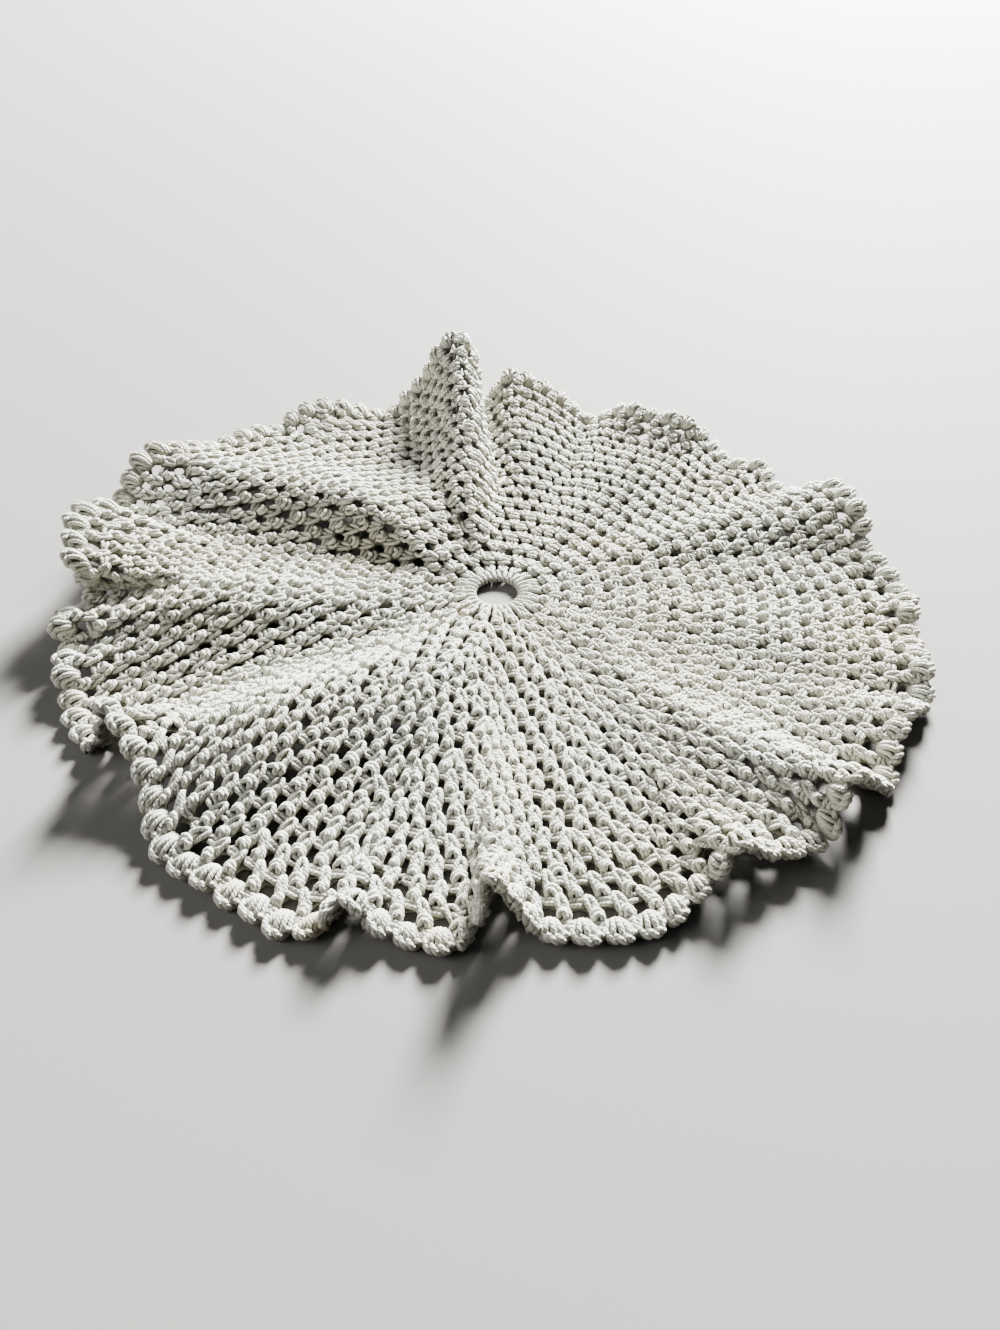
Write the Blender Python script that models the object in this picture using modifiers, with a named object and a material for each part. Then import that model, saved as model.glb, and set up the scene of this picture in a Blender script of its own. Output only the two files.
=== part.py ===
"""Crocheted lace doily, worked in the round, lying on a table with its rim in loose ruffles.

The cloth is one open surface with a Solidify modifier. A point of it is named by two cloth
coordinates: rho, from the centre (0) to the tips of the shell edging (1), and turn, once round
the cloth (0 to 1). fold_surface() says where that point lies: flat on the table in many places,
lifted into pleats, ridges and curls in others. Lengths in the tables are millimetres.
"""
import bmesh
import bpy
import numpy as np

MM = 0.001
CLOTH_RADIUS = 122.0      # centre to shell tips, measured along the cloth
HOLE_RADIUS = 5.8         # ring that the first round is worked into
THICKNESS = 3.2           # crochet fabric, front loops to back loops
SHELLS = 130              # shells of the edging
SCALLOP = 2.6             # depth of the notch between two shells
EYELET_RHO = (0.912, 0.941)  # foot of a shell, where the last chain spaces stand open
EYELET_SHARE = 0.6        # width of an open eyelet, of the room between two notches
MIDDLE_RHO = 0.64
INNER_RHO = 0.33
SHIFT = (1.418, 1.337)    # moves the cloth so that its bounding box is centred over the origin

# The rim, clockwise from the foot of the tall pleat. A row for each crest, valley and flank:
# bearing (degrees from the rear), reach (from the centre), lift (height of the fold there),
# curl (more height, in the outermost rounds only).
RIM_COLUMNS = ("bearing", "reach", "lift", "curl")
RIM = (
    # tall standing pleat
    (340.0, 116.0, 0.0, 0.0), (344.0, 115.0, 6.5, 1.0), (347.5, 113.0, 15.0, 1.0),
    (349.5, 111.0, 24.5, 1.0), (352.5, 112.0, 29.5, 0.0), (355.0, 112.5, 24.0, 0.0),
    (355.8, 112.0, 11.5, 0.0), (356.8, 112.0, 2.0, 0.0),
    # broad wave beside it
    (359.5, 116.0, 4.5, 1.0), (2.5, 117.0, 9.5, 2.0), (7.0, 116.5, 7.5, 1.5), (12.5, 115.0, 2.5, 1.0),
    (18.5, 109.0, -1.0, 0.5),
    # small curls of the rear right
    (21.5, 114.5, 0.0, 1.5), (26.7, 111.5, 0.0, 7.0), (31.0, 111.3, 0.5, 5.0), (35.3, 113.0, 0.5, 6.5),
    (40.0, 115.0, 0.0, 0.5), (48.0, 109.0, -1.0, 1.0), (53.0, 113.0, 0.0, 1.5), (57.0, 109.0, -1.0, 1.0),
    # right ruffle
    (61.5, 109.0, 0.0, 0.5), (65.5, 117.0, 5.5, 1.0), (71.5, 117.0, 7.5, 1.5), (75.5, 117.0, 5.5, 1.0),
    (79.5, 114.0, 1.5, 0.5),
    # right side, nearly flat
    (84.0, 116.0, -1.0, 2.5), (90.0, 118.0, -1.0, 0.5), (95.0, 118.0, 0.0, 2.5), (100.0, 116.0, -1.0, 0.5),
    (105.0, 117.5, 0.5, 2.5), (109.0, 119.0, 1.0, 3.5), (113.5, 119.5, 0.5, 0.5), (118.5, 117.0, 3.5, 2.0),
    (124.0, 117.0, 3.0, 1.0), (129.5, 120.0, -1.0, 1.0),
    # front right fold
    (133.0, 117.0, 7.0, 0.0), (136.5, 116.0, 12.5, 0.0), (139.0, 117.0, 7.0, 0.0), (141.0, 118.5, 1.0, 0.5),
    (146.0, 117.5, -0.5, 3.0), (149.5, 115.0, 1.0, 4.0), (152.5, 113.0, 5.0, 4.0), (156.0, 115.0, 1.0, 2.5),
    (159.5, 117.0, -1.0, 2.0),
    # front, with its narrow arch
    (164.0, 120.0, -1.0, 0.5), (169.0, 119.5, -1.0, 0.5), (175.0, 117.0, -0.5, 0.0), (178.0, 114.0, 4.0, 2.5),
    (180.7, 114.0, 10.0, 6.5), (181.5, 114.0, 2.0, 2.0), (184.0, 120.0, -1.0, 0.0), (188.0, 120.0, -1.0, 0.5),
    (192.5, 118.0, 0.0, 2.0), (195.8, 117.0, 3.0, 4.0), (197.5, 121.0, 0.0, 0.5),
    # front left, flat
    (201.0, 124.0, -1.0, 0.5), (206.0, 122.5, -1.0, 0.5), (211.0, 121.5, 0.0, 0.0), (216.0, 122.0, -0.5, 0.0),
    # left front fold, its far side dropping steeply
    (221.0, 119.0, 0.5, 0.0), (225.5, 114.0, 4.0, 0.0), (230.0, 112.0, 7.5, 1.0), (234.0, 112.0, 8.5, 4.5),
    (236.0, 113.0, 8.5, 6.5), (236.6, 114.0, 3.5, 4.0), (238.0, 118.0, 0.0, 0.5),
    # left side, two curls
    (243.0, 120.0, -1.0, 1.0), (248.0, 120.0, -1.0, 1.5), (252.0, 120.5, 1.0, 4.0), (256.0, 119.0, 0.0, 1.0),
    (259.0, 121.0, 4.0, 4.0), (263.0, 117.0, 2.0, 1.0),
    # left ridge, with a steep front
    (265.8, 115.5, 2.5, 0.5), (266.2, 115.0, 9.0, 0.5), (266.0, 117.0, 16.5, 0.5), (269.0, 119.0, 19.0, 0.5),
    (275.5, 120.5, 20.0, 1.5), (279.0, 117.0, 17.5, 1.0), (283.0, 119.0, 9.0, 0.0),
    # rear left ridge
    (286.3, 121.5, 10.5, 0.0), (291.0, 121.5, 15.0, 1.0), (295.0, 120.8, 17.2, 1.0),
    (298.3, 117.6, 14.5, 1.0), (303.3, 116.3, 9.3, 1.5), (309.0, 116.0, 7.0, 1.0), (314.0, 116.0, 6.0, 2.0),
    (318.5, 115.5, 5.0, 0.5), (323.0, 117.0, 6.0, 3.0), (328.0, 117.0, 5.5, 3.5), (333.0, 116.0, 3.0, 2.0),
    (336.0, 117.0, 1.0, 0.5),
)
# Height of the cloth where its folds run inwards: turn (degrees round the cloth) and height.
MIDDLE_COLUMNS = ("turn", "height")
MIDDLE = (
    (0.0, 0.5), (4.3, 4.5), (8.6, 10.5), (13.0, 15.5), (16.0, 17.0), (18.7, 13.0), (23.8, 6.0), (27.7, 0.5),
    (34.0, 4.0), (43.0, 1.5), (48.0, 0.0), (60.0, 1.5), (74.0, -0.5), (82.0, 0.5), (90.0, 3.5), (95.0, 3.0),
    (102.0, -0.5), (111.0, -0.5), (122.0, 1.5), (134.0, 0.0), (145.0, 0.0), (153.0, 3.0), (158.0, 5.5),
    (163.0, 4.5), (170.0, 2.0), (180.0, -0.5), (187.0, 0.0), (197.0, 2.5), (206.0, 0.5), (220.0, 1.5),
    (232.0, 4.5), (240.0, 8.5), (245.0, 9.0), (249.0, 7.5), (252.0, 4.0), (257.0, 2.0), (264.5, 1.0),
    (272.0, 4.0), (280.0, 8.5), (287.0, 9.0), (295.0, 7.0), (303.0, 5.0), (310.0, 4.3), (316.5, 7.0),
    (323.5, 12.0), (329.0, 12.0), (334.0, 10.0), (341.5, 5.5), (349.5, 1.5), (356.5, 0.0),
)
INNER_COLUMNS = ("turn", "height")
INNER = (
    (0.0, 5.5), (4.3, 8.0), (8.6, 9.0), (13.0, 8.5), (17.0, 5.0), (22.0, 2.0), (28.0, 0.5), (60.0, 0.5),
    (75.0, 0.0), (88.0, 1.3), (98.0, 0.5), (110.0, 0.0), (122.0, 0.5), (134.0, 0.0), (158.0, 0.5),
    (170.0, 0.0), (204.0, 0.0), (213.0, 3.0), (223.0, 6.5), (232.0, 6.0), (242.0, 3.5), (252.0, 1.2),
    (264.5, 0.5), (276.0, 3.0), (286.0, 3.5), (303.0, 2.5), (314.0, 2.0), (322.0, 5.5), (331.0, 10.0), (340.0, 8.0),
    (350.0, 7.0), (355.0, 6.0),
)
# Stretches of the rim, in degrees of turn, where the eyelets at the feet of the shells stand open
# by 4 mm or more.
OPEN_EYELETS = ((58.0, 66.0), (122.0, 134.0), (136.0, 143.0), (151.0, 163.0), (178.0, 190.0), (207.0, 213.0),
                (222.0, 246.0), (276.0, 281.0), (295.0, 306.0))


def closed_curve(columns, lengths, samples):
    """Smooth closed curve through the rows of columns, spaced by lengths: cubic Hermite pieces
    whose slope at a row is the length-weighted mean of the slopes on either side."""
    knots = np.concatenate([[0.0], np.cumsum(lengths)])
    slope = (np.roll(columns, -1, 0) - columns) / lengths[:, None]
    share = (lengths / (lengths + np.roll(lengths, 1)))[:, None]
    tangent = (1 - share) * slope + share * np.roll(slope, 1, 0)
    u = np.linspace(0.0, knots[-1], samples, endpoint=False)
    i = np.clip(np.searchsorted(knots, u, side="right") - 1, 0, len(lengths) - 1)
    j = (i + 1) % len(lengths)
    h = lengths[i][:, None]
    q = ((u - knots[i]) / lengths[i])[:, None]
    return ((2 * q**3 - 3 * q**2 + 1) * columns[i] + (q**3 - 2 * q**2 + q) * h * tangent[i]
            + (3 * q**2 - 2 * q**3) * columns[j] + (q**3 - q**2) * h * tangent[j])


def make_rim():
    """The rim curve, sampled finely: turn is the share of its length run so far."""
    rows = np.array(RIM)
    bearing = np.radians(rows[:, 0])
    x, y = rows[:, 1] * np.sin(bearing), rows[:, 1] * np.cos(bearing)
    points = np.column_stack([x, y, rows[:, 2] + rows[:, 3]])
    lengths = np.linalg.norm(np.roll(points, -1, 0) - points, axis=1) ** 0.75
    curve = closed_curve(np.column_stack([x, y, rows[:, 2], rows[:, 3]]), lengths, 7200)
    path = np.column_stack([curve[:, 0], curve[:, 1], curve[:, 2] + curve[:, 3]])
    step = np.linalg.norm(np.roll(path, -1, 0) - path, axis=1)
    turn = np.concatenate([[0.0], np.cumsum(step)]) / step.sum()
    azimuth = np.unwrap(np.arctan2(curve[:, 0], curve[:, 1]))
    offset = np.mean(azimuth - 2 * np.pi * turn[:-1])

    def channel(values, last=None):
        return np.append(values, values[0] if last is None else last)

    return {"turn": turn, "azimuth": channel(azimuth, azimuth[0] + 2 * np.pi),
            "reach": channel(np.hypot(curve[:, 0], curve[:, 1])), "lift": channel(curve[:, 2]),
            "curl": channel(curve[:, 3]), "offset": offset}


def ring_heights(table):
    """Height against turn (0 to 1) for a table of turn and height, smooth and closed."""
    rows = np.array(table)
    gaps = np.roll(rows[:, 0], -1) - rows[:, 0]
    gaps[-1] += 360.0
    heights = closed_curve(rows[:, 1:2], gaps, 3600)[:, 0]
    turns = (rows[0, 0] + np.linspace(0.0, 360.0, 3600, endpoint=False)) / 360.0
    return np.append(turns, turns[0] + 1.0), np.append(heights, heights[0])


def profile_weights(rho):
    """How much the inner, middle and rim heights count at rho: a natural cubic spline through
    the three rings, level at the hole."""
    knots = np.array([0.05, INNER_RHO, MIDDLE_RHO, 1.0])
    h = np.diff(knots)
    system = np.zeros((4, 4))
    system[0, :2] = 2 * h[0], h[0]
    system[3, 3] = 1.0
    for k in (1, 2):
        system[k, k - 1:k + 2] = h[k - 1], 2 * (h[k - 1] + h[k]), h[k]
    weights = []
    for ring in (1, 2, 3):
        value = np.zeros(4)
        value[ring] = 1.0
        rise = np.diff(value) / h
        bend = np.linalg.solve(system, 6 * np.array([rise[0], rise[1] - rise[0], rise[2] - rise[1], 0.0]))
        i = np.clip(np.searchsorted(knots, rho, side="right") - 1, 0, 2)
        t = rho - knots[i]
        s = h[i] - t
        weights.append((bend[i] * s**3 + bend[i + 1] * t**3) / (6 * h[i])
                       + (value[i] / h[i] - bend[i] * h[i] / 6) * s
                       + (value[i + 1] / h[i] - bend[i + 1] * h[i] / 6) * t)
    return weights


RIM_CURVE = make_rim()
MIDDLE_RING = ring_heights(MIDDLE)
INNER_RING = ring_heights(INNER)


def fold_surface(rho, turn):
    """Middle surface of the cloth, in metres, at rho and turn. The bearing goes over from an even
    spread at the hole to the rim's own; the height never falls below the flat lie."""
    turn = turn % 1.0
    rim = {name: np.interp(turn, RIM_CURVE["turn"], RIM_CURVE[name])
           for name in ("azimuth", "reach", "lift", "curl")}
    middle = np.interp(turn, *MIDDLE_RING, period=1.0)
    inner = np.interp(turn, *INNER_RING, period=1.0)
    blend = np.clip((rho - 0.05) / 0.80, 0.0, 1.0) ** 0.9
    blend = 0.5 * blend + 0.5 * blend**2 * (3 - 2 * blend)
    azimuth = rim["azimuth"] * blend + (2 * np.pi * turn + RIM_CURVE["offset"]) * (1 - blend)
    reach = CLOTH_RADIUS * rho - (CLOTH_RADIUS - rim["reach"]) * rho**2.2
    w_inner, w_middle, w_rim = profile_weights(np.clip(rho, 0.05, 1.0))
    edge = np.clip((rho - 0.80) / 0.20, 0.0, 1.0)
    height = (inner * w_inner + middle * w_middle + rim["lift"] * w_rim
              + rim["curl"] * edge**2 * (3 - 2 * edge))
    height = np.maximum(height, 0.0) + THICKNESS / 2
    x, y = reach * np.sin(azimuth) + SHIFT[0], reach * np.cos(azimuth) + SHIFT[1]
    return np.stack([x, y, height], -1) * MM


def eyelet_open(shell):
    """True where the eyelet at the foot of this shell is one of the wide ones."""
    degrees = (shell + 0.5) * 360.0 / SHELLS
    return any(low <= degrees <= high for low, high in OPEN_EYELETS)


# Rings of the sheet, from the hole to the shells: rho and the number of columns, doubling outwards.
RING_COLUMNS = ("rho", "columns")
RINGS = ((HOLE_RADIUS / CLOTH_RADIUS, 65), (0.12, 65), (0.20, 130), (0.29, 130), (0.38, 130), (0.47, 130),
         (0.56, 260), (0.64, 260), (0.72, 260), (0.79, 260), (0.86, 260), (EYELET_RHO[0], 260),
         (EYELET_RHO[1], 260), (1.0, 520))
# The outline of one shell, as shares of SCALLOP at its four columns: shoulder, tip, shoulder, notch.
# The tip stands over the shell's eyelet.
SHELL_OUTLINE = (0.30, 0.0, 0.30, 1.0)


def make_cloth(collection):
    mesh_data = bmesh.new()
    rings = []
    for rho, columns in RINGS:
        turn = np.arange(columns) / columns
        rhos = np.full(columns, rho)
        if rho in EYELET_RHO:
            turn += np.tile((-1.0, 1.0), SHELLS) * (EYELET_SHARE - 0.5) / columns
        if rho == 1.0:
            rhos -= np.tile(SHELL_OUTLINE, SHELLS) * SCALLOP / CLOTH_RADIUS
        rings.append([mesh_data.verts.new(p) for p in fold_surface(rhos, turn)])
    for (rho, _), inner, outer in zip(RINGS, rings, rings[1:]):
        step = len(outer) // len(inner)
        for k, a in enumerate(inner):
            b = inner[(k + 1) % len(inner)]
            if step == 2:
                p, q, r = (outer[(2 * k + n) % len(outer)] for n in range(3))
                mesh_data.faces.new((a, p, q))
                mesh_data.faces.new((a, q, b))
                mesh_data.faces.new((b, q, r))
            elif not (rho == EYELET_RHO[0] and k % 2 == 0 and eyelet_open(k // 2)):
                mesh_data.faces.new((a, outer[k], outer[(k + 1) % len(outer)], b))
    bmesh.ops.recalc_face_normals(mesh_data, faces=mesh_data.faces)
    bmesh.ops.triangulate(mesh_data, faces=mesh_data.faces, quad_method="SHORT_EDGE")
    if sum(face.normal.z for face in mesh_data.faces) < 0:
        bmesh.ops.reverse_faces(mesh_data, faces=mesh_data.faces)
    mesh = bpy.data.meshes.new("doily")
    mesh_data.to_mesh(mesh)
    mesh_data.free()
    cloth = bpy.data.objects.new("doily", mesh)
    collection.objects.link(cloth)
    cloth.data.shade_smooth()
    solid = cloth.modifiers.new("thickness", "SOLIDIFY")
    solid.thickness = THICKNESS * MM
    solid.offset = 0.0
    solid.use_rim = True
    return cloth


def cotton():
    material = bpy.data.materials.new("cotton yarn")
    material.use_nodes = True
    shader = material.node_tree.nodes["Principled BSDF"]
    shader.inputs["Base Color"].default_value = (0.80, 0.78, 0.71, 1.0)
    shader.inputs["Roughness"].default_value = 0.9
    shader.inputs["Metallic"].default_value = 0.0
    return material


for old in list(bpy.data.objects):
    bpy.data.objects.remove(old, do_unlink=True)
parts = bpy.data.collections.new("lace_doily")
bpy.context.scene.collection.children.link(parts)
make_cloth(parts).data.materials.append(cotton())
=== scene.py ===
"""Lace doily, crocheted in the round from one soft cotton yarn, lying on a table with its rim in
loose ruffles. The cloth's lie is fold_surface(); on it run the starting ring, seventeen rounds of
stitches and the shell edging, each a real strand of yarn. Tables are in millimetres.
"""

import bpy
import numpy as np
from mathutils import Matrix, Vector


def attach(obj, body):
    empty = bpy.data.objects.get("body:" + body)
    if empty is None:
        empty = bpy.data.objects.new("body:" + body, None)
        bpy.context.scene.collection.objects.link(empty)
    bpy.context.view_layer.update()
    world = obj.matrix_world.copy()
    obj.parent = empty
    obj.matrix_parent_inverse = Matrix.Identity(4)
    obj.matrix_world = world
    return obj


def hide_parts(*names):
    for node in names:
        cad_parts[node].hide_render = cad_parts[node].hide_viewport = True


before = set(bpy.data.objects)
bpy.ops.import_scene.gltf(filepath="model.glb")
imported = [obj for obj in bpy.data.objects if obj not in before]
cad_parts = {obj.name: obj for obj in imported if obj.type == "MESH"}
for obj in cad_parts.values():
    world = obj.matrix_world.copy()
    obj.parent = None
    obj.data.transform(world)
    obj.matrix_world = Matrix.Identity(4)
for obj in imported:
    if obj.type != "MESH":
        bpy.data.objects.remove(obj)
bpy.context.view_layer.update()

# ---------------------------------------------------------------------------------------------
# The inner cloth: the loops inside the crochet, which close it behind the legs of the stitches.
# It is one thin sheet of the same cotton yarn, painted dark as shade, in the folds in which the doily
# lies, with a gap between every two stitches and a wider one at the foot of each shell.
MM = 0.001
CLOTH_RADIUS = 122.0      # centre to shell tips, measured along the cloth
THICKNESS = 3.2           # crochet fabric, front loops to back loops
HOLE_RHO = 0.05           # where the folds begin, in shares of CLOTH_RADIUS
INNER_RHO = 0.33          # where the heights of INNER hold
MIDDLE_RHO = 0.64         # where the heights of MIDDLE hold
CURL_RHO = 0.80           # where the curls of the rim begin
SHIFT = (1.418, 1.337)    # the middle of the cloth, from the origin
OVER_TABLE = 0.05         # the lowest that any yarn lies above the table
FIRST_ROUND = 9.2         # inner edge of round 2, where the starting ring ends
ROUND_DEPTH = 6.23        # one round of stitches
# stitches in rounds 2 to 18; the starting ring is round 1
STITCHES = (19, 28, 37, 46, 55, 64, 73, 82, 91, 100, 109, 118, 127, 136, 142, 138, 130)
LAST_ROUND = 18
SHELLS = 130


def round_radius(number, outward):
    """Distance from the centre, along the cloth, of a place in a round; outward is in rounds."""
    return FIRST_ROUND + (number - 2 + outward) * ROUND_DEPTH


# The rim, clockwise from the foot of the tall pleat. A row for each crest, valley and flank:
# bearing (degrees from the rear), reach (from the centre), lift (height of the fold there),
# curl (more height, in the outermost rounds only).
RIM = (
    # tall standing pleat
    (340.0, 116.0, 0.0, 0.0), (344.0, 115.0, 6.5, 1.0), (347.5, 113.0, 15.0, 1.0),
    (349.5, 111.0, 24.5, 1.0), (352.5, 112.0, 29.5, 0.0), (355.0, 112.5, 24.0, 0.0),
    (355.8, 112.0, 11.5, 0.0), (356.8, 112.0, 2.0, 0.0),
    # broad wave beside it
    (359.5, 116.0, 4.5, 1.0), (2.5, 117.0, 9.5, 2.0), (7.0, 116.5, 7.5, 1.5), (12.5, 115.0, 2.5, 1.0),
    (18.5, 109.0, -1.0, 0.5),
    # small curls of the rear right
    (21.5, 114.5, 0.0, 1.5), (26.7, 111.5, 0.0, 7.0), (31.0, 111.3, 0.5, 5.0), (35.3, 113.0, 0.5, 6.5),
    (40.0, 115.0, 0.0, 0.5), (48.0, 109.0, -1.0, 1.0), (53.0, 113.0, 0.0, 1.5), (57.0, 109.0, -1.0, 1.0),
    # right ruffle
    (61.5, 109.0, 0.0, 0.5), (65.5, 117.0, 5.5, 1.0), (71.5, 117.0, 7.5, 1.5), (75.5, 117.0, 5.5, 1.0),
    (79.5, 114.0, 1.5, 0.5),
    # right side, nearly flat
    (84.0, 116.0, -1.0, 2.5), (90.0, 118.0, -1.0, 0.5), (95.0, 118.0, 0.0, 2.5), (100.0, 116.0, -1.0, 0.5),
    (105.0, 117.5, 0.5, 2.5), (109.0, 119.0, 1.0, 3.5), (113.5, 119.5, 0.5, 0.5), (118.5, 117.0, 3.5, 2.0),
    (124.0, 117.0, 3.0, 1.0), (129.5, 120.0, -1.0, 1.0),
    # front right fold
    (133.0, 117.0, 7.0, 0.0), (136.5, 116.0, 12.5, 0.0), (139.0, 117.0, 7.0, 0.0), (141.0, 118.5, 1.0, 0.5),
    (146.0, 117.5, -0.5, 3.0), (149.5, 115.0, 1.0, 4.0), (152.5, 113.0, 5.0, 4.0), (156.0, 115.0, 1.0, 2.5),
    (159.5, 117.0, -1.0, 2.0),
    # front, with its narrow arch
    (164.0, 120.0, -1.0, 0.5), (169.0, 119.5, -1.0, 0.5), (175.0, 117.0, -0.5, 0.0), (178.0, 114.0, 4.0, 2.5),
    (180.7, 114.0, 10.0, 6.5), (181.5, 114.0, 2.0, 2.0), (184.0, 120.0, -1.0, 0.0), (188.0, 120.0, -1.0, 0.5),
    (192.5, 118.0, 0.0, 2.0), (195.8, 117.0, 3.0, 4.0), (197.5, 121.0, 0.0, 0.5),
    # front left, flat
    (201.0, 124.0, -1.0, 0.5), (206.0, 122.5, -1.0, 0.5), (211.0, 121.5, 0.0, 0.0), (216.0, 122.0, -0.5, 0.0),
    # left front fold, its far side dropping steeply
    (221.0, 119.0, 0.5, 0.0), (225.5, 114.0, 4.0, 0.0), (230.0, 112.0, 7.5, 1.0), (234.0, 112.0, 8.5, 4.5),
    (236.0, 113.0, 8.5, 6.5), (236.6, 114.0, 3.5, 4.0), (238.0, 118.0, 0.0, 0.5),
    # left side, two curls
    (243.0, 120.0, -1.0, 1.0), (248.0, 120.0, -1.0, 1.5), (252.0, 120.5, 1.0, 4.0), (256.0, 119.0, 0.0, 1.0),
    (259.0, 121.0, 4.0, 4.0), (263.0, 117.0, 2.0, 1.0),
    # left ridge, with a steep front
    (265.8, 115.5, 2.5, 0.5), (266.2, 115.0, 9.0, 0.5), (266.0, 117.0, 16.5, 0.5), (269.0, 119.0, 19.0, 0.5),
    (275.5, 120.5, 20.0, 1.5), (279.0, 117.0, 17.5, 1.0), (283.0, 119.0, 9.0, 0.0),
    # rear left ridge
    (286.3, 121.5, 10.5, 0.0), (291.0, 121.5, 15.0, 1.0), (295.0, 120.8, 17.2, 1.0),
    (298.3, 117.6, 14.5, 1.0), (303.3, 116.3, 9.3, 1.5), (309.0, 116.0, 7.0, 1.0), (314.0, 116.0, 6.0, 2.0),
    (318.5, 115.5, 5.0, 0.5), (323.0, 117.0, 6.0, 3.0), (328.0, 117.0, 5.5, 3.5), (333.0, 116.0, 3.0, 2.0),
    (336.0, 117.0, 1.0, 0.5),
)
# Height of the cloth where its folds run inwards: turn (degrees round the cloth) and height.
MIDDLE = (
    (0.0, 0.5), (4.3, 4.5), (8.6, 10.5), (13.0, 15.5), (16.0, 17.0), (18.7, 13.0), (23.8, 6.0), (27.7, 0.5),
    (34.0, 4.0), (43.0, 1.5), (48.0, 0.0), (60.0, 1.5), (74.0, -0.5), (82.0, 0.5), (90.0, 3.5), (95.0, 3.0),
    (102.0, -0.5), (111.0, -0.5), (122.0, 1.5), (134.0, 0.0), (145.0, 0.0), (153.0, 3.0), (158.0, 5.5),
    (163.0, 4.5), (170.0, 2.0), (180.0, -0.5), (187.0, 0.0), (197.0, 2.5), (206.0, 0.5), (220.0, 1.5),
    (232.0, 4.5), (240.0, 8.5), (245.0, 9.0), (249.0, 7.5), (252.0, 4.0), (257.0, 2.0), (264.5, 1.0),
    (272.0, 4.0), (280.0, 8.5), (287.0, 9.0), (295.0, 7.0), (303.0, 5.0), (310.0, 4.3), (316.5, 7.0),
    (323.5, 12.0), (329.0, 12.0), (334.0, 10.0), (341.5, 5.5), (349.5, 1.5), (356.5, 0.0),
)
INNER = (
    (0.0, 5.5), (4.3, 8.0), (8.6, 9.0), (13.0, 8.5), (17.0, 5.0), (22.0, 2.0), (28.0, 0.5), (60.0, 0.5),
    (75.0, 0.0), (88.0, 1.3), (98.0, 0.5), (110.0, 0.0), (122.0, 0.5), (134.0, 0.0), (158.0, 0.5),
    (170.0, 0.0), (204.0, 0.0), (213.0, 3.0), (223.0, 6.5), (232.0, 6.0), (242.0, 3.5), (252.0, 1.2),
    (264.5, 0.5), (276.0, 3.0), (286.0, 3.5), (303.0, 2.5), (314.0, 2.0), (322.0, 5.5), (331.0, 10.0),
    (340.0, 8.0), (350.0, 7.0), (355.0, 6.0),
)
# Stretches of the rim, in degrees of turn, where the eyelets at the feet of the shells stand open
# by 4 mm or more.
OPEN_EYELETS = ((58.0, 66.0), (122.0, 134.0), (136.0, 143.0), (151.0, 163.0), (178.0, 190.0),
                (207.0, 213.0), (222.0, 246.0), (276.0, 281.0), (295.0, 306.0))


def closed_curve(columns, lengths, samples):
    """Smooth closed curve through the rows of columns, spaced by lengths: cubic Hermite pieces
    whose slope at a row is the length-weighted mean of the slopes on either side."""
    knots = np.concatenate([[0.0], np.cumsum(lengths)])
    slope = (np.roll(columns, -1, 0) - columns) / lengths[:, None]
    share = (lengths / (lengths + np.roll(lengths, 1)))[:, None]
    tangent = (1 - share) * slope + share * np.roll(slope, 1, 0)
    u = np.linspace(0.0, knots[-1], samples, endpoint=False)
    i = np.clip(np.searchsorted(knots, u, side="right") - 1, 0, len(lengths) - 1)
    j = (i + 1) % len(lengths)
    h = lengths[i][:, None]
    q = ((u - knots[i]) / lengths[i])[:, None]
    return ((2 * q**3 - 3 * q**2 + 1) * columns[i] + (q**3 - 2 * q**2 + q) * h * tangent[i]
            + (3 * q**2 - 2 * q**3) * columns[j] + (q**3 - q**2) * h * tangent[j])


RIM_SAMPLES = 7200
RING_SAMPLES = 3600


def make_rim():
    """The rim curve, sampled finely: turn is the share of its length run so far."""
    rows = np.array(RIM)
    bearing = np.radians(rows[:, 0])
    x, y = rows[:, 1] * np.sin(bearing), rows[:, 1] * np.cos(bearing)
    points = np.column_stack([x, y, rows[:, 2] + rows[:, 3]])
    lengths = np.linalg.norm(np.roll(points, -1, 0) - points, axis=1) ** 0.75
    curve = closed_curve(np.column_stack([x, y, rows[:, 2], rows[:, 3]]), lengths, RIM_SAMPLES)
    path = np.column_stack([curve[:, 0], curve[:, 1], curve[:, 2] + curve[:, 3]])
    step = np.linalg.norm(np.roll(path, -1, 0) - path, axis=1)
    turn = np.concatenate([[0.0], np.cumsum(step)]) / step.sum()
    azimuth = np.unwrap(np.arctan2(curve[:, 0], curve[:, 1]))
    offset = np.mean(azimuth - 2 * np.pi * turn[:-1])

    def channel(values, last=None):
        return np.append(values, values[0] if last is None else last)

    return {"turn": turn, "azimuth": channel(azimuth, azimuth[0] + 2 * np.pi),
            "reach": channel(np.hypot(curve[:, 0], curve[:, 1])), "lift": channel(curve[:, 2]),
            "curl": channel(curve[:, 3]), "offset": offset}


def ring_heights(table):
    """Height against turn (0 to 1) for a table of turn and height, smooth and closed."""
    rows = np.array(table)
    gaps = np.roll(rows[:, 0], -1) - rows[:, 0]
    gaps[-1] += 360.0
    heights = closed_curve(rows[:, 1:2], gaps, RING_SAMPLES)[:, 0]
    turns = (rows[0, 0] + np.linspace(0.0, 360.0, RING_SAMPLES, endpoint=False)) / 360.0
    return np.append(turns, turns[0] + 1.0), np.append(heights, heights[0])


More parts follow.
